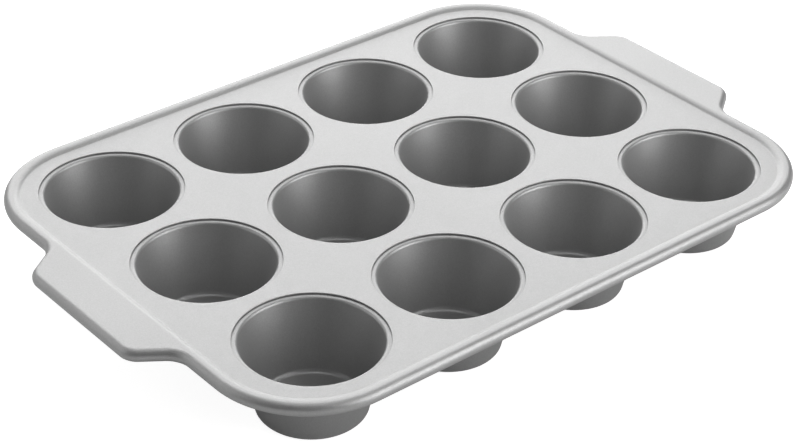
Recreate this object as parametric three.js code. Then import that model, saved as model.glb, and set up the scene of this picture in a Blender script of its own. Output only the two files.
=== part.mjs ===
// A muffin pan of coated sheet steel, in millimetres, +Z up, standing on z = 0 with its length along X.
//
// The frame is one pressed sheet: a sunk deck with a round hole for each cup, a raised border that widens
// into a handle at both ends, and an outer edge that is rolled down and under, round a wire. Each cup is
// a separate drawn shell. Its flange lies under the deck round the hole, so it shows as a ring just below
// the deck.

import * as THREE from "three";
import { mergeVertices } from "three/addons/utils/BufferGeometryUtils.js";

// Driving dimensions: cups
const CUP_COLUMNS = 4;
const CUP_ROWS = 3;
const CUP_SHEET = 0.6;
const MOUTH_RADIUS = 34.5; // inside of the wall, just below the bend into the flange
const MOUTH_BEND = 1.2; // radius of that bend, on its hollow side under the flange
const FLOOR_RADIUS = 26.5; // where the inside of the wall would meet the floor
const FLOOR_FILLET = 2.5; // inside radius between wall and floor
const FLANGE_SHOW = 3; // width of ring and bend that show inside the hole
const FLANGE_LAP = 1.6; // width of the ring that lies under the deck

// Driving dimensions: deck and border
const FRAME_SHEET = 0.6;
const DECK_HEIGHT = 39.5; // upper face of the deck
const DECK_WEB = 9; // deck between two neighbouring holes
const END_WEB = 9.6; // deck between a hole and the riser at the short ends
const SIDE_WEB = 7.5; // deck between a hole and the riser at the long sides
const FIELD_CORNER_RADIUS = 45.1; // sunk deck's corners, at the foot of the riser
const BORDER_RISE = 1.7; // border above the deck
const RISER_RUN = 2.2; // how far the riser leans outwards
const BORDER_WIDTH = 2.6; // flat top, from the riser to where the edge begins to roll

// Driving dimensions: rolled edge
const ROLL_RADIUS = 3.5; // outer face of the roll
const ROLL_END = THREE.MathUtils.degToRad(-150); // where the roll stops, below and inside the wire

// Driving dimensions: handles
const HANDLE_REACH = 19.9; // past the short end
const HANDLE_HALF_WIDTH = 36.4; // straight part of the outer edge
const HANDLE_CORNER_RADIUS = 7.1;
const HANDLE_ROOT_RADIUS = 15.4;
const HANDLE_TURN = THREE.MathUtils.degToRad(54.6); // how far the outline turns at a handle's corner

// Open gap in the seams and round the wire, which are pressed tight on the real pan
const CLEARANCE = 0.3;

// Fineness of the facets
const CIRCLE_STEPS = 20;
const OUTLINE_STEP = THREE.MathUtils.degToRad(11.5);
const BEND_STEP = THREE.MathUtils.degToRad(30);
const WIRE_STEPS = 10;

// Sizes and heights that follow
const HOLE_RADIUS = MOUTH_RADIUS + FLANGE_SHOW;
const FLANGE_RADIUS = HOLE_RADIUS + FLANGE_LAP;
const CUP_PITCH = 2 * HOLE_RADIUS + DECK_WEB;
const MOUTH_BEND_OUTSIDE = MOUTH_BEND + CUP_SHEET;

const DECK_UNDERSIDE = DECK_HEIGHT - FRAME_SHEET;
const FLANGE_HEIGHT = DECK_UNDERSIDE - CLEARANCE;
const BORDER_HEIGHT = DECK_HEIGHT + BORDER_RISE;
const BORDER_UNDERSIDE = BORDER_HEIGHT - FRAME_SHEET;

const FIELD_HALF_LENGTH = ((CUP_COLUMNS - 1) / 2) * CUP_PITCH + HOLE_RADIUS + END_WEB;
const FIELD_HALF_WIDTH = ((CUP_ROWS - 1) / 2) * CUP_PITCH + HOLE_RADIUS + SIDE_WEB;

// The line where the flat border and handles begin to roll down, which is also the middle of the roll
const EDGE_OFFSET = RISER_RUN + BORDER_WIDTH;
const EDGE_HALF_LENGTH = FIELD_HALF_LENGTH + EDGE_OFFSET;
const EDGE_HALF_WIDTH = FIELD_HALF_WIDTH + EDGE_OFFSET;
const EDGE_CORNER_RADIUS = FIELD_CORNER_RADIUS + EDGE_OFFSET;
const ROLL_HEIGHT = BORDER_HEIGHT - ROLL_RADIUS;
const ROLL_INSIDE = ROLL_RADIUS - FRAME_SHEET;
const WIRE_RADIUS = ROLL_INSIDE - CLEARANCE;

// Points of an arc in a section, as [outwards, height]
function sectionArc(out, height, radius, from, to) {
  const steps = Math.ceil(Math.abs(to - from) / BEND_STEP);
  const curve = new THREE.EllipseCurve(out, height, radius, radius, from, to, to < from);
  return curve.getPoints(steps).map((point) => [point.x, point.y]);
}

// Stations of an outline along an arc: each has a place and the direction that points out of the sheet.
// A hollow arc has a negative radius.
function outlineArc(centreX, centreY, radius, from, to) {
  const steps = Math.ceil(Math.abs(to - from) / OUTLINE_STEP);
  const stations = [];
  for (let step = 0; step <= steps; step += 1) {
    const angle = from + ((to - from) * step) / steps;
    const outwards = new THREE.Vector2(Math.cos(angle), Math.sin(angle));
    const place = new THREE.Vector2(centreX, centreY).addScaledVector(outwards, radius);
    stations.push({ place, outwards });
  }
  return stations;
}

// The whole outline, anticlockwise, from its quarter at +X and +Y
function mirrorQuarter(quarter) {
  const flip = (x, y) => {
    const sign = new THREE.Vector2(x, y);
    return quarter.map(({ place, outwards }) => ({
      place: place.clone().multiply(sign),
      outwards: outwards.clone().multiply(sign),
    }));
  };
  return [...quarter, ...flip(-1, 1).reverse(), ...flip(-1, -1), ...flip(1, -1).reverse()];
}

// Foot of the riser round the sunk deck
function fieldOutline() {
  const centreX = FIELD_HALF_LENGTH - FIELD_CORNER_RADIUS;
  const centreY = FIELD_HALF_WIDTH - FIELD_CORNER_RADIUS;
  return mirrorQuarter(outlineArc(centreX, centreY, FIELD_CORNER_RADIUS, 0, Math.PI / 2));
}

// Where the border and the handles begin to roll down
function edgeOutline() {
  const turnX = Math.cos(HANDLE_TURN);
  const turnY = Math.sin(HANDLE_TURN);
  const cornerX = EDGE_HALF_LENGTH + HANDLE_REACH - HANDLE_CORNER_RADIUS;
  const rootX = EDGE_HALF_LENGTH + HANDLE_ROOT_RADIUS;
  // The straight flank runs from the handle's corner to its root, and sets where the root lies
  const radii = HANDLE_CORNER_RADIUS + HANDLE_ROOT_RADIUS;
  const flankLength = (HANDLE_REACH - radii * (1 - turnX)) / turnY;
  const rootY = HANDLE_HALF_WIDTH + radii * turnY + flankLength * turnX;
  const quarter = [
    ...outlineArc(cornerX, HANDLE_HALF_WIDTH, HANDLE_CORNER_RADIUS, 0, HANDLE_TURN),
    ...outlineArc(rootX, rootY, -HANDLE_ROOT_RADIUS, HANDLE_TURN, 0),
    ...outlineArc(
      EDGE_HALF_LENGTH - EDGE_CORNER_RADIUS,
      EDGE_HALF_WIDTH - EDGE_CORNER_RADIUS,
      EDGE_CORNER_RADIUS,
      0,
      Math.PI / 2,
    ),
  ];
  return mirrorQuarter(quarter);
}

// Middle of a hole, with the directions of its facets
function circleOutline(centreX, centreY) {
  return Array.from({ length: CIRCLE_STEPS }, (_, step) => {
    const angle = (2 * Math.PI * step) / CIRCLE_STEPS;
    return {
      place: new THREE.Vector2(centreX, centreY),
      outwards: new THREE.Vector2(Math.cos(angle), Math.sin(angle)),
    };
  });
}

// A closed loop of points: an outline moved outwards and lifted to a height
function loopAt(outline, [out, height]) {
  return outline.map(({ place, outwards }) => {
    const moved = place.clone().addScaledVector(outwards, out);
    return new THREE.Vector3(moved.x, moved.y, height);
  });
}

// Faces between two loops of one outline. A section is followed anticlockwise, outwards along its
// underside and back along its top, so the faces point out of the sheet.
function band(first, second) {
  return first.flatMap((corner, index) => {
    const next = (index + 1) % first.length;
    return [corner, first[next], second[next], corner, second[next], second[index]];
  });
}

function sweepOpen(outline, section) {
  const loops = section.map((point) => loopAt(outline, point));
  return loops.slice(1).flatMap((loop, index) => band(loops[index], loop));
}

function sweepClosed(outline, section) {
  return sweepOpen(outline, [...section, section[0]]);
}

// A flat face inside one loop, with holes, that looks up or down
function plate(outer, holes, looksUp) {
  const corners = [outer, ...holes].flat();
  const triangles = THREE.ShapeUtils.triangulateShape(outer, holes);
  return triangles.flatMap(([a, b, c]) => {
    const turn = new THREE.Triangle(corners[a], corners[b], corners[c]).getNormal(new THREE.Vector3()).z;
    const order = turn > 0 === looksUp ? [a, b, c] : [a, c, b];
    return order.map((index) => corners[index]);
  });
}

function closedGeometry(trianglePoints) {
  return mergeVertices(new THREE.BufferGeometry().setFromPoints(trianglePoints));
}

// Cup places, row 1 at the near long side and column 1 at the left end
function cupPlaces() {
  const places = [];
  for (let row = 0; row < CUP_ROWS; row += 1) {
    for (let column = 0; column < CUP_COLUMNS; column += 1) {
      places.push({
        name: `cup_row${row + 1}_col${column + 1}`,
        x: (column - (CUP_COLUMNS - 1) / 2) * CUP_PITCH,
        y: (row - (CUP_ROWS - 1) / 2) * CUP_PITCH,
      });
    }
  }
  return places;
}

// Rolled edge, from the border's underside round to the end of the roll and back to the border's top
function rimSection() {
  return [
    ...sectionArc(0, ROLL_HEIGHT, ROLL_INSIDE, Math.PI / 2, ROLL_END),
    ...sectionArc(0, ROLL_HEIGHT, ROLL_RADIUS, ROLL_END, Math.PI / 2),
  ];
}

// The pressed sheet of deck, border, handles and rim
function frameGeometry() {
  const field = fieldOutline();
  const edge = edgeOutline();
  const holes = cupPlaces().map(({ x, y }) => circleOutline(x, y));

  const rim = rimSection();
  const rimUnder = loopAt(edge, rim[0]);
  const rimTop = loopAt(edge, rim[rim.length - 1]);

  // The sheet keeps its thickness round the two bends of the riser
  const riserAngle = Math.atan2(BORDER_RISE, RISER_RUN);
  const bendOffset = FRAME_SHEET * Math.tan(riserAngle / 2);
  const riserUnder = [
    [bendOffset, DECK_UNDERSIDE],
    [RISER_RUN + bendOffset, BORDER_UNDERSIDE],
  ];
  const riserTop = [
    [RISER_RUN, BORDER_HEIGHT],
    [0, DECK_HEIGHT],
  ];

  const holeEdge = [
    [HOLE_RADIUS, DECK_HEIGHT],
    [HOLE_RADIUS, DECK_UNDERSIDE],
  ];
  const holesTop = holes.map((hole) => loopAt(hole, holeEdge[0]));
  const holesUnder = holes.map((hole) => loopAt(hole, holeEdge[1]));

  return closedGeometry([
    ...sweepOpen(edge, rim),
    ...plate(rimTop, [loopAt(field, riserTop[0])], true),
    ...plate(rimUnder, [loopAt(field, riserUnder[1])], false),
    ...sweepOpen(field, riserTop),
    ...sweepOpen(field, riserUnder),
    ...plate(loopAt(field, riserTop[1]), holesTop, true),
    ...plate(loopAt(field, riserUnder[0]), holesUnder, false),
    ...holes.flatMap((hole) => sweepOpen(hole, holeEdge)),
  ]);
}

// The wire inside the roll, closed on itself
function wireGeometry() {
  const section = Array.from({ length: WIRE_STEPS }, (_, step) => {
    const angle = (2 * Math.PI * step) / WIRE_STEPS;
    return [WIRE_RADIUS * Math.cos(angle), ROLL_HEIGHT + WIRE_RADIUS * Math.sin(angle)];
  });
  return closedGeometry(sweepClosed(edgeOutline(), section));
}

// A cup, standing on z = 0 round the Z axis: inside from the floor to the flange, then back outside
function cupGeometry() {
  const floorTop = CUP_SHEET;
  const filletHeight = floorTop + FLOOR_FILLET;
  const bendHeight = FLANGE_HEIGHT - MOUTH_BEND_OUTSIDE;
  const lean = Math.atan2(MOUTH_RADIUS - FLOOR_RADIUS, bendHeight - floorTop);
  const filletRadius = FLOOR_RADIUS - FLOOR_FILLET * Math.tan((Math.PI / 2 - lean) / 2);
  const bendRadius = MOUTH_RADIUS + MOUTH_BEND_OUTSIDE;
  const inside = [
    [0, floorTop],
    ...sectionArc(filletRadius, filletHeight, FLOOR_FILLET, -Math.PI / 2, -lean),
    ...sectionArc(bendRadius, bendHeight, MOUTH_BEND_OUTSIDE, Math.PI - lean, Math.PI / 2),
  ];
  const flangeEdge = [
    [FLANGE_RADIUS, FLANGE_HEIGHT],
    [FLANGE_RADIUS, FLANGE_HEIGHT - CUP_SHEET],
  ];
  const outside = [
    ...sectionArc(bendRadius, bendHeight, MOUTH_BEND, Math.PI / 2, Math.PI - lean),
    ...sectionArc(filletRadius, filletHeight, FLOOR_FILLET + CUP_SHEET, -lean, -Math.PI / 2),
    [0, 0],
  ];
  const profile = [...inside, ...flangeEdge, ...outside].reverse();
  const points = profile.map(([radius, height]) => new THREE.Vector2(radius, height));
  return new THREE.LatheGeometry(points, CIRCLE_STEPS).rotateX(Math.PI / 2);
}

// Finishes
const coating = { color: 0xadadad, roughness: 0.46, metalness: 0.7 };
const bareWire = { color: 0xb4b4b0, roughness: 0.35, metalness: 1.0 };

function makePiece(name, geometry, finish) {
  const piece = new THREE.Mesh(geometry, new THREE.MeshStandardMaterial(finish));
  piece.name = name;
  return piece;
}

const muffinPan = new THREE.Group();
muffinPan.add(makePiece("pan_frame", frameGeometry(), coating));
muffinPan.add(makePiece("rim_wire", wireGeometry(), bareWire));

const cups = new THREE.Group();
const cupShell = cupGeometry();
for (const { name, x, y } of cupPlaces()) {
  const cup = makePiece(name, cupShell, coating);
  cup.position.set(x, y, 0);
  cups.add(cup);
}
muffinPan.add(cups);

export default muffinPan;
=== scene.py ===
"""Looks of the muffin pan.

Fine pieces take the place of the solids. They get a speckled grey coating, a studio and a camera.
"""

import math

import bmesh
import bpy
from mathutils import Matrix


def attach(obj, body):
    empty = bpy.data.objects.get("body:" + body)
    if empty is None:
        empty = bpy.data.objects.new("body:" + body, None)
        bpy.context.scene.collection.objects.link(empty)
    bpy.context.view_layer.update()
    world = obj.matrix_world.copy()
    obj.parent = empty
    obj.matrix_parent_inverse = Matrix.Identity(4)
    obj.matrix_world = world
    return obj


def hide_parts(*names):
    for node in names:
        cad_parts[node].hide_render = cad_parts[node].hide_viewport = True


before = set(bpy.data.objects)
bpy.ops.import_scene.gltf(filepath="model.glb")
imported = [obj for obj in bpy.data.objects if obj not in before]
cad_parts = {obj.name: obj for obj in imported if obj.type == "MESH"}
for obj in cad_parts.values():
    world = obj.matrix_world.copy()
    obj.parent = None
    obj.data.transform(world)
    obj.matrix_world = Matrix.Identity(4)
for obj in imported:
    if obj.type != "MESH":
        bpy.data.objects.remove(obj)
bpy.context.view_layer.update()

MM = 0.001

# Sizes of the pan, as in its source
CUP_COLUMNS = 4
CUP_ROWS = 3
SHEET = 0.6 * MM
CLEARANCE = 0.3 * MM

MOUTH_RADIUS = 34.5 * MM
FLOOR_RADIUS = 26.5 * MM
FLOOR_FILLET = 2.5 * MM
FLANGE_SHOW = 3 * MM
FLANGE_LAP = 1.6 * MM

DECK_HEIGHT = 39.5 * MM
BORDER_RISE = 1.7 * MM
RISER_RUN = 2.2 * MM
DECK_WEB = 9 * MM
END_WEB = 9.6 * MM
SIDE_WEB = 7.5 * MM
FIELD_CORNER_RADIUS = 45.1 * MM
BORDER_WIDTH = 2.6 * MM
ROLL_RADIUS = 3.5 * MM
ROLL_END = -150

HANDLE_REACH = 19.9 * MM
HANDLE_HALF_WIDTH = 36.4 * MM
HANDLE_CORNER_RADIUS = 7.1 * MM
HANDLE_ROOT_RADIUS = 15.4 * MM
HANDLE_TURN = 54.6

# Small bends of the sheets, which the solids leave sharp or, at the cups' mouths, tighter
MOUTH_BEND = 1.8 * MM
RISER_TOP_BEND = 5 * MM
RISER_FOOT_BEND = 1.5 * MM
HOLE_BEVEL = 0.25 * MM
FLAT_STRIP = 0.3 * MM

# Sizes that follow
HOLE_RADIUS = MOUTH_RADIUS + FLANGE_SHOW
HOLE_SURROUND = HOLE_RADIUS + FLAT_STRIP
CUP_PITCH = 2 * HOLE_RADIUS + DECK_WEB
FIELD_HALF_LENGTH = (CUP_COLUMNS - 1) / 2 * CUP_PITCH + HOLE_RADIUS + END_WEB
FIELD_HALF_WIDTH = (CUP_ROWS - 1) / 2 * CUP_PITCH + HOLE_RADIUS + SIDE_WEB
FLANGE_RADIUS = HOLE_RADIUS + FLANGE_LAP
FLANGE_HEIGHT = DECK_HEIGHT - SHEET - CLEARANCE
BORDER_HEIGHT = DECK_HEIGHT + BORDER_RISE
ROLL_OFFSET = RISER_RUN + BORDER_WIDTH
ROLL_HEIGHT = BORDER_HEIGHT - ROLL_RADIUS

# Fineness
ROUND_STEPS = 96
CORNER_STEPS = 24
HANDLE_STEPS = 12
ROLL_OVER_STEPS = 14
ROLL_UNDER_STEPS = 18
BEND_STEPS = 8
INNER_BEND_STEPS = 5
SHEET_EDGE_STEPS = 6
BEVEL_STEPS = 3
ROUND_PROFILE = 0.5
MERGE_DISTANCE = 0.002 * MM
PLACE_TOLERANCE = 0.01 * MM
SMOOTH_ANGLE = math.radians(40)

# Camera, fitted to the photograph
CAMERA_PLACE = (-0.6176, -0.7265, 0.6223)
CAMERA_TURN = (57.357, -0.832, -39.680)
CAMERA_LENS = 96.73
CAMERA_SENSOR = 36
CAMERA_CLIP_START = 0.01

# Coating of the frame and the cups: ranges of tone and roughness, and noise scales in Object coordinates
FRAME_TONE = (0.42, 0.42, 0.42)
FRAME_ROUGHNESS = (0.44, 0.56)
CUP_TONE = (0.38, 0.38, 0.38)
CUP_ROUGHNESS = (0.42, 0.54)
COATING_METALLIC = 0.7
SPECKLE_SCALE = 1800
SPECKLE_DETAIL = 2
SPECKLE_TONE = (0.93, 1.07)
DRIFT_SCALE = 14
DRIFT_DETAIL = 3
DRIFT_TONE = (0.98, 1.02)
GRAIN_SCALE = 900
GRAIN_DETAIL = 3
GRAIN_STRENGTH = 0.8
GRAIN_DEPTH = 0.06 * MM
NOISE_MIDDLE = (0.3, 0.7)

# Bare wire in the rolled edge
WIRE_TONE = (0.70, 0.70, 0.69, 1)
WIRE_ROUGHNESS = (0.28, 0.42)
WIRE_METALLIC = 1.0
MOTTLE_SCALE = 600
MOTTLE_DETAIL = 3
MOTTLE_STRENGTH = 0.1
MOTTLE_DEPTH = 0.02 * MM

# Floor of the studio, with its own brightness for the camera and for reflections
FLOOR_SIZE = 8.0
FLOOR_HEIGHT = -0.3 * MM
FLOOR_TONE = 0.6
FLOOR_ROUGHNESS = 0.9
FLOOR_GLOW_SEEN = 0.9
FLOOR_GLOW_REFLECTED = 0.28
FLOOR_SHADE_REACH = 0.08
WORLD_STRENGTH = 0.02

# Name, azimuth from +X towards +Y, elevation, width, height, brightness
SOFTBOXES = [
    ("softbox_back", 56, 40, 2.0, 1.4, 2.36),
    ("softbox_low", 55, 9, 2.0, 0.4, 4.0),
    ("softbox_front", 299, 23, 1.1, 1.1, 4.7),
    ("softbox_front_high", 299, 48, 1.0, 0.6, 2.0),
    ("softbox_fill", 140, 28, 2.0, 1.4, 1.0),
    ("softbox_top", 0, 90, 0.7, 0.7, 2.3),
]
SOFTBOX_DISTANCE = 1.7


# Modelling helpers

def begin(name):
    """A new plane, alone in the selection and open for editing."""
    bpy.ops.object.select_all(action="DESELECT")
    bpy.ops.mesh.primitive_plane_add(size=1)
    piece = bpy.context.object
    piece.name = name
    piece.data.name = name
    bpy.ops.object.mode_set(mode="EDIT")
    bpy.ops.mesh.select_mode(type="VERT")
    return piece


def pick(piece, kind, test):
    """Select the corners, edges or faces of the open mesh that pass a test."""
    bpy.ops.mesh.select_mode(type=kind)
    bpy.ops.mesh.select_all(action="DESELECT")
    mesh = bmesh.from_edit_mesh(piece.data)
    parts = {"VERT": mesh.verts, "EDGE": mesh.edges, "FACE": mesh.faces}[kind]
    for part in parts:
        part.select_set(test(part))
    mesh.select_flush_mode()
    bmesh.update_edit_mesh(piece.data)


def near(value, target):
    return abs(value - target) < PLACE_TOLERANCE


def arc(out, height, radius, start, stop, steps):
    """Points of an arc in a section, as (outwards, height), with angles in degrees."""
    angles = [math.radians(start + (stop - start) * step / steps) for step in range(steps + 1)]
    return [(out + radius * math.cos(angle), height + radius * math.sin(angle)) for angle in angles]


def spin_section(name, section, closed):
    """Draw a section by extruding a corner from point to point, then spin it round the Z axis."""
    piece = begin(name)
    bpy.ops.mesh.merge(type="CENTER")
    bpy.ops.transform.translate(value=(section[0][0], 0, section[0][1]))
    for (out, height), (next_out, next_height) in zip(section, section[1:]):
        step = (next_out - out, 0, next_height - height)
        bpy.ops.mesh.extrude_region_move(TRANSFORM_OT_translate={"value": step})
    bpy.ops.mesh.select_all(action="SELECT")
    bpy.ops.mesh.spin(steps=ROUND_STEPS, angle=2 * math.pi, center=(0, 0, 0), axis=(0, 0, 1))
    bpy.ops.mesh.select_all(action="SELECT")
    bpy.ops.mesh.remove_doubles(threshold=MERGE_DISTANCE)
    if closed:
        bpy.ops.mesh.normals_make_consistent(inside=False)
    bpy.ops.object.mode_set(mode="OBJECT")
    return piece


def copy_to(piece, name, x, y):
    """A copy with its own mesh, and its place in the mesh."""
    bpy.ops.object.select_all(action="DESELECT")
    piece.select_set(True)
    bpy.context.view_layer.objects.active = piece
    bpy.ops.object.duplicate(linked=False)
    twin = bpy.context.object
    twin.name = name
    twin.data.name = name
    twin.location = (x, y, 0)
    bpy.ops.object.transform_apply(location=True, rotation=False, scale=False)
    return twin


def remove(piece):
    bpy.ops.object.select_all(action="DESELECT")
    piece.select_set(True)
    bpy.ops.object.delete()


def smooth(piece):
    bpy.ops.object.select_all(action="DESELECT")
    piece.select_set(True)
    bpy.context.view_layer.objects.active = piece
    bpy.ops.object.shade_smooth_by_angle(angle=SMOOTH_ANGLE)


def round_corners(piece, test, radius, turn, steps):
    """Round the picked corners of a flat outline that turns there by an angle."""
    pick(piece, "VERT", test)
    offset = radius * math.tan(math.radians(turn) / 2)
    bpy.ops.mesh.bevel(
        offset=offset,
        offset_type="OFFSET",
        segments=steps,
        profile=ROUND_PROFILE,
        affect="VERTICES",
        clamp_overlap=False,
    )


def press(piece, section, way):
    """Carry the flat face along a section, inset by inset, and leave it open in the middle."""
    pick(piece, "FACE", lambda face: True)
    for (out, height), (next_out, next_height) in zip(section, section[1:]):
        bpy.ops.mesh.inset(thickness=out - next_out, depth=way * (next_height - height))
    bpy.ops.mesh.delete(type="FACE")
    bpy.ops.object.mode_set(mode="OBJECT")


def cup_places():
    """Row, column and middle of each cup."""
    for row in range(CUP_ROWS):
        for column in range(CUP_COLUMNS):
            x = (column - (CUP_COLUMNS - 1) / 2) * CUP_PITCH
            y = (row - (CUP_ROWS - 1) / 2) * CUP_PITCH
            yield row + 1, column + 1, x, y


# The pressed frame

def outline_face(name, out):
    """Flat face inside the outline where the border and the handles begin to roll down, moved outwards."""
    half_length = FIELD_HALF_LENGTH + ROLL_OFFSET + out
    half_width = FIELD_HALF_WIDTH + ROLL_OFFSET + out
    turn = math.radians(HANDLE_TURN)
    mitre = math.tan(turn / 2)
    corner_y = HANDLE_HALF_WIDTH + (HANDLE_CORNER_RADIUS + out) * mitre
    root_y = corner_y + HANDLE_REACH / math.tan(turn)
    cut_y = half_width / 3

    piece = begin(name)
    bpy.ops.transform.resize(value=(2 * half_length, 2 * half_width, 1))
    bpy.ops.transform.translate(value=(0, 0, ROLL_HEIGHT))

    # Two corners on each short end, then the wing between them drawn out and tapered
    pick(piece, "EDGE", lambda edge: near(edge.verts[0].co.x, edge.verts[1].co.x))
    bpy.ops.mesh.subdivide(number_cuts=2)
    pick(piece, "VERT", lambda corner: near(abs(corner.co.y), cut_y))
    bpy.ops.transform.resize(value=(1, root_y / cut_y, 1))
    pick(
        piece,
        "EDGE",
        lambda edge: all(near(abs(end.co.y), root_y) for end in edge.verts)
        and near(edge.verts[0].co.x, edge.verts[1].co.x),
    )
    bpy.ops.mesh.extrude_edges_move()
    bpy.ops.transform.resize(value=((half_length + HANDLE_REACH) / half_length, corner_y / root_y, 1))
    bpy.ops.mesh.select_mode(type="FACE")
    bpy.ops.mesh.select_all(action="SELECT")
    bpy.ops.mesh.dissolve_faces()

    round_corners(
        piece, lambda corner: near(abs(corner.co.y), half_width),
        FIELD_CORNER_RADIUS + ROLL_OFFSET + out, 90, CORNER_STEPS,
    )
    round_corners(
        piece, lambda corner: near(abs(corner.co.x), half_length + HANDLE_REACH),
        HANDLE_CORNER_RADIUS + out, HANDLE_TURN, HANDLE_STEPS,
    )
    round_corners(
        piece, lambda corner: near(abs(corner.co.y), root_y) and near(abs(corner.co.x), half_length),
        HANDLE_ROOT_RADIUS - out, HANDLE_TURN, HANDLE_STEPS,
    )
    return piece


def make_rim():
    """Outer skin of the rolled edge, above and below its widest line."""
    over = outline_face("rim_over", ROLL_RADIUS)
    section = [*arc(0, ROLL_HEIGHT, ROLL_RADIUS, 0, 90, ROLL_OVER_STEPS), (-FLAT_STRIP, BORDER_HEIGHT)]
    press(over, section, 1)

    under = outline_face("rim_under", ROLL_RADIUS)
    bpy.ops.mesh.select_all(action="SELECT")
    bpy.ops.mesh.flip_normals()
    press(under, arc(0, ROLL_HEIGHT, ROLL_RADIUS, 0, ROLL_END, ROLL_UNDER_STEPS), -1)
    return [over, under]


def make_field():
    """Riser from the raised border down to the sunk deck."""
    slope = math.degrees(math.atan2(BORDER_RISE, RISER_RUN))
    mitre = math.tan(math.radians(slope) / 2)
    top_out = RISER_RUN + RISER_TOP_BEND * mitre
    foot_out = -RISER_FOOT_BEND * mitre
    section = [
        (top_out + FLAT_STRIP, BORDER_HEIGHT),
        *arc(top_out, BORDER_HEIGHT - RISER_TOP_BEND, RISER_TOP_BEND, 90, 90 + slope, BEND_STEPS),
        *arc(foot_out, DECK_HEIGHT + RISER_FOOT_BEND, RISER_FOOT_BEND, slope - 90, -90, BEND_STEPS),
        (foot_out - FLAT_STRIP, DECK_HEIGHT),
    ]
    out = section[0][0]
    piece = begin("field")
    bpy.ops.transform.resize(value=(2 * (FIELD_HALF_LENGTH + out), 2 * (FIELD_HALF_WIDTH + out), 1))
    bpy.ops.transform.translate(value=(0, 0, BORDER_HEIGHT))
    round_corners(piece, lambda corner: True, FIELD_CORNER_RADIUS + out, 90, CORNER_STEPS)
    press(piece, section, 1)
    return piece


def make_surrounds():
    """Flat ring of deck round one hole, copied to every cup."""
    first = spin_section("surround", [(HOLE_SURROUND, DECK_HEIGHT), (HOLE_RADIUS, DECK_HEIGHT)], False)
    surrounds = [copy_to(first, f"surround_{row}_{column}", x, y) for row, column, x, y in cup_places()]
    remove(first)
    return surrounds


def on_hole(edge):
    """Whether an edge lies on the rim of a hole."""
    return any(
        all(near(math.hypot(end.co.x - x, end.co.y - y), HOLE_RADIUS) for end in edge.verts)
        for _, _, x, y in cup_places()
    )


def on_open_edge(edge, level):
    """Whether an edge is an open one at a level, other than the rim of a hole."""
    on_level = all(near(end.co.z, level) for end in edge.verts)
    return edge.is_boundary and on_level and not on_hole(edge)


def make_frame():
    """One sheet: rim, border with handles, riser and deck."""
    skins = [*make_rim(), make_field(), *make_surrounds()]
    bpy.ops.object.select_all(action="DESELECT")
    for skin in skins:
        skin.select_set(True)
    piece = skins[0]
    bpy.context.view_layer.objects.active = piece
    bpy.ops.object.join()
    piece.name = "pressed_frame"
    piece.data.name = "pressed_frame"

    bpy.ops.object.mode_set(mode="EDIT")
    bpy.ops.mesh.select_all(action="SELECT")
    bpy.ops.mesh.remove_doubles(threshold=MERGE_DISTANCE)
    for level in (BORDER_HEIGHT, DECK_HEIGHT):
        pick(piece, "EDGE", lambda edge: on_open_edge(edge, level))
        bpy.ops.mesh.fill(use_beauty=True)
    bpy.ops.mesh.select_all(action="SELECT")
    bpy.ops.mesh.normals_make_consistent(inside=False)
    bpy.ops.object.mode_set(mode="OBJECT")

    # The skin is the upper and outer face, so the sheet grows to the other side of it
    deck_faces = [face for face in piece.data.polygons if near(face.center.z, DECK_HEIGHT)]
    if deck_faces[0].normal.z < 0:
        bpy.ops.object.mode_set(mode="EDIT")
        bpy.ops.mesh.select_all(action="SELECT")
        bpy.ops.mesh.flip_normals()
        bpy.ops.object.mode_set(mode="OBJECT")
    wall = piece.modifiers.new("sheet", "SOLIDIFY")
    wall.thickness = SHEET
    wall.offset = -1
    wall.use_even_offset = True
    bpy.ops.object.modifier_apply(modifier=wall.name)

    bpy.ops.object.mode_set(mode="EDIT")
    pick(piece, "EDGE", lambda edge: all(near(end.co.z, DECK_HEIGHT) for end in edge.verts) and on_hole(edge))
    bpy.ops.mesh.bevel(offset=HOLE_BEVEL, segments=BEVEL_STEPS, profile=ROUND_PROFILE, affect="EDGES")
    bpy.ops.object.mode_set(mode="OBJECT")
    smooth(piece)
    return piece


# The cups

def cup_section():
    """Half section of a cup: inside from the floor's middle to the flange, then back along the outside."""
    floor_bend = FLOOR_FILLET + SHEET
    bend_height = FLANGE_HEIGHT - MOUTH_BEND
    lean = math.atan2(MOUTH_RADIUS - FLOOR_RADIUS, bend_height - SHEET)
    tilt = math.degrees(lean)
    fillet_out = FLOOR_RADIUS - FLOOR_FILLET * math.tan((math.pi / 2 - lean) / 2)
    fillet_height = SHEET + FLOOR_FILLET
    bend_out = MOUTH_RADIUS + MOUTH_BEND
    return [
        (0, SHEET),
        (fillet_out - FLAT_STRIP, SHEET),
        *arc(fillet_out, fillet_height, FLOOR_FILLET, -90, -tilt, BEND_STEPS),
        *arc(bend_out, bend_height, MOUTH_BEND, 180 - tilt, 90, BEND_STEPS),
        *arc(FLANGE_RADIUS - SHEET / 2, FLANGE_HEIGHT - SHEET / 2, SHEET / 2, 90, -90, SHEET_EDGE_STEPS),
        *arc(bend_out, bend_height, MOUTH_BEND - SHEET, 90, 180 - tilt, INNER_BEND_STEPS),
        *arc(fillet_out, fillet_height, floor_bend, -tilt, -90, BEND_STEPS),
        (fillet_out - FLAT_STRIP, 0),
        (0, 0),
    ]


def make_cups():
    first = spin_section("cup", cup_section(), True)
    smooth(first)
    cups = {}
    for row, column, x, y in cup_places():
        cups[f"cup_row{row}_col{column}"] = copy_to(first, f"shell_row{row}_col{column}", x, y)
    remove(first)
    return cups


# Finishes

def new_material(name):
    """A node material with its output and main shader."""
    material = bpy.data.materials.new(name)
    material.use_nodes = True
    tree = material.node_tree
    return material, tree, tree.nodes["Principled BSDF"]


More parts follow.
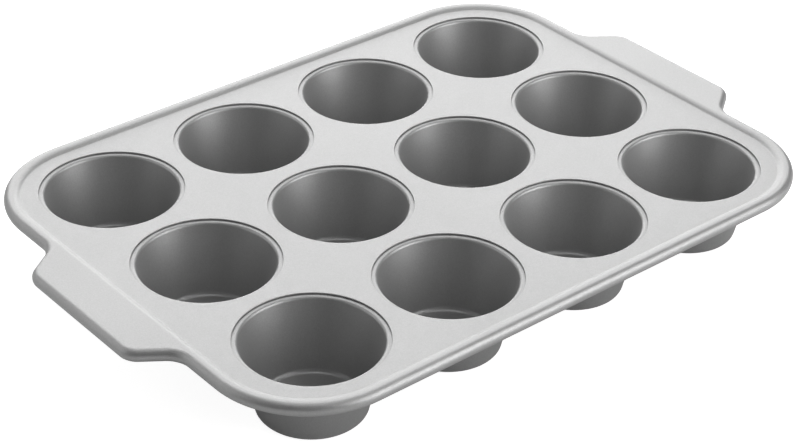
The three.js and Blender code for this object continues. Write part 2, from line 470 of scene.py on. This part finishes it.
def add_noise(tree, coordinates, scale, detail):
    noise = tree.nodes.new("ShaderNodeTexNoise")
    noise.inputs["Scale"].default_value = scale
    noise.inputs["Detail"].default_value = detail
    tree.links.new(coordinates, noise.inputs["Vector"])
    return noise.outputs["Fac"]


def add_range(tree, value, low, high):
    """Spread the middle of a noise over a range."""
    node = tree.nodes.new("ShaderNodeMapRange")
    node.inputs["From Min"].default_value = NOISE_MIDDLE[0]
    node.inputs["From Max"].default_value = NOISE_MIDDLE[1]
    node.inputs["To Min"].default_value = low
    node.inputs["To Max"].default_value = high
    tree.links.new(value, node.inputs["Value"])
    return node.outputs["Result"]


def add_math(tree, operation, *values):
    """A math node, fed by sockets and plain numbers."""
    node = tree.nodes.new("ShaderNodeMath")
    node.operation = operation
    for socket, value in zip(node.inputs, values):
        if isinstance(value, float):
            socket.default_value = value
        else:
            tree.links.new(value, socket)
    return node.outputs["Value"]


def add_bump(tree, shader, height, strength, depth):
    bump = tree.nodes.new("ShaderNodeBump")
    bump.inputs["Strength"].default_value = strength
    bump.inputs["Distance"].default_value = depth
    tree.links.new(height, bump.inputs["Height"])
    tree.links.new(bump.outputs["Normal"], shader.inputs["Normal"])


def make_coating(name, tone, roughness):
    """Satin grey coating: fine speckle in colour and height, and a slow drift of tone."""
    material, tree, shader = new_material(name)
    coordinates = tree.nodes.new("ShaderNodeTexCoord").outputs["Object"]
    speckle = add_noise(tree, coordinates, SPECKLE_SCALE, SPECKLE_DETAIL)
    drift = add_noise(tree, coordinates, DRIFT_SCALE, DRIFT_DETAIL)
    grain = add_noise(tree, coordinates, GRAIN_SCALE, GRAIN_DETAIL)

    speckle_tone = add_range(tree, speckle, *SPECKLE_TONE)
    drift_tone = add_range(tree, drift, *DRIFT_TONE)
    tint = tree.nodes.new("ShaderNodeVectorMath")
    tint.operation = "SCALE"
    tint.inputs[0].default_value = tone
    tree.links.new(add_math(tree, "MULTIPLY", speckle_tone, drift_tone), tint.inputs["Scale"])
    tree.links.new(tint.outputs["Vector"], shader.inputs["Base Color"])

    tree.links.new(add_range(tree, grain, *roughness), shader.inputs["Roughness"])
    add_bump(tree, shader, grain, GRAIN_STRENGTH, GRAIN_DEPTH)
    shader.inputs["Metallic"].default_value = COATING_METALLIC
    return material


def make_wire_finish():
    """Bare drawn steel with fine mottling."""
    material, tree, shader = new_material("drawn_wire")
    coordinates = tree.nodes.new("ShaderNodeTexCoord").outputs["Object"]
    mottle = add_noise(tree, coordinates, MOTTLE_SCALE, MOTTLE_DETAIL)
    tree.links.new(add_range(tree, mottle, *WIRE_ROUGHNESS), shader.inputs["Roughness"])
    add_bump(tree, shader, mottle, MOTTLE_STRENGTH, MOTTLE_DEPTH)
    shader.inputs["Base Color"].default_value = WIRE_TONE
    shader.inputs["Metallic"].default_value = WIRE_METALLIC
    return material


# Studio

def make_floor():
    bpy.ops.object.select_all(action="DESELECT")
    bpy.ops.mesh.primitive_plane_add(size=FLOOR_SIZE, location=(0, 0, FLOOR_HEIGHT))
    floor = bpy.context.object
    floor.name = "floor"
    material, tree, shader = new_material("floor_paper")
    shader.inputs["Base Color"].default_value = (FLOOR_TONE, FLOOR_TONE, FLOOR_TONE, 1)
    shader.inputs["Roughness"].default_value = FLOOR_ROUGHNESS
    shader.inputs["Specular IOR Level"].default_value = 0

    # The paper looks white to the camera, with the shadow kept. Reflections see it dimmer, with painted shade
    # from ambient occlusion on its glow where the pan stands over it.
    glow = tree.nodes.new("ShaderNodeEmission")
    light_path = tree.nodes.new("ShaderNodeLightPath")
    shade = tree.nodes.new("ShaderNodeAmbientOcclusion")
    shade.inputs["Distance"].default_value = FLOOR_SHADE_REACH
    rays = light_path.outputs
    seen = add_math(tree, "MULTIPLY", rays["Is Camera Ray"], FLOOR_GLOW_SEEN)
    reflected = add_math(tree, "MAXIMUM", rays["Is Glossy Ray"], rays["Is Transmission Ray"])
    level = add_math(tree, "MULTIPLY", reflected, FLOOR_GLOW_REFLECTED)
    total = add_math(tree, "MULTIPLY_ADD", level, shade.outputs["AO"], seen)
    tree.links.new(total, glow.inputs["Strength"])
    both = tree.nodes.new("ShaderNodeAddShader")
    tree.links.new(shader.outputs["BSDF"], both.inputs[0])
    tree.links.new(glow.outputs["Emission"], both.inputs[1])
    tree.links.new(both.outputs["Shader"], tree.nodes["Material Output"].inputs["Surface"])
    floor.data.materials.append(material)


def add_softbox(name, azimuth, elevation, width, height, radiance):
    """A soft area lamp that looks at the pan, with its brightness as a mirror would show it."""
    azimuth = math.radians(azimuth)
    elevation = math.radians(elevation)
    level = SOFTBOX_DISTANCE * math.cos(elevation)
    place = (level * math.cos(azimuth), level * math.sin(azimuth), SOFTBOX_DISTANCE * math.sin(elevation))
    bpy.ops.object.select_all(action="DESELECT")
    bpy.ops.object.light_add(type="AREA", location=place)
    lamp = bpy.context.object
    lamp.name = name
    lamp.data.shape = "RECTANGLE"
    lamp.data.size = width
    lamp.data.size_y = height
    lamp.data.energy = radiance * width * height * math.pi
    lamp.rotation_euler = lamp.location.to_track_quat("Z", "Y").to_euler()


def make_studio():
    world = bpy.data.worlds.new("studio")
    world.use_nodes = True
    world.node_tree.nodes["Background"].inputs["Color"].default_value = (1, 1, 1, 1)
    world.node_tree.nodes["Background"].inputs["Strength"].default_value = WORLD_STRENGTH
    bpy.context.scene.world = world
    make_floor()
    for softbox in SOFTBOXES:
        add_softbox(*softbox)
    bpy.context.scene.view_settings.view_transform = "Standard"


def make_camera():
    bpy.ops.object.camera_add(location=CAMERA_PLACE, rotation=[math.radians(angle) for angle in CAMERA_TURN])
    camera = bpy.context.object
    camera.name = "camera"
    camera.data.sensor_fit = "HORIZONTAL"
    camera.data.sensor_width = CAMERA_SENSOR
    camera.data.lens = CAMERA_LENS
    camera.data.clip_start = CAMERA_CLIP_START
    bpy.context.scene.camera = camera


# Assembly

frame_coating = make_coating("frame_coating", FRAME_TONE, FRAME_ROUGHNESS)
cup_coating = make_coating("cup_coating", CUP_TONE, CUP_ROUGHNESS)

pressed_frame = make_frame()
pressed_frame.data.materials.append(frame_coating)
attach(pressed_frame, "root")
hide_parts("pan_frame")

for node, shell in make_cups().items():
    shell.data.materials.append(cup_coating)
    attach(shell, "root")
    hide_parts(node)

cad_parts["rim_wire"].material_slots[0].material = make_wire_finish()

make_studio()
make_camera()
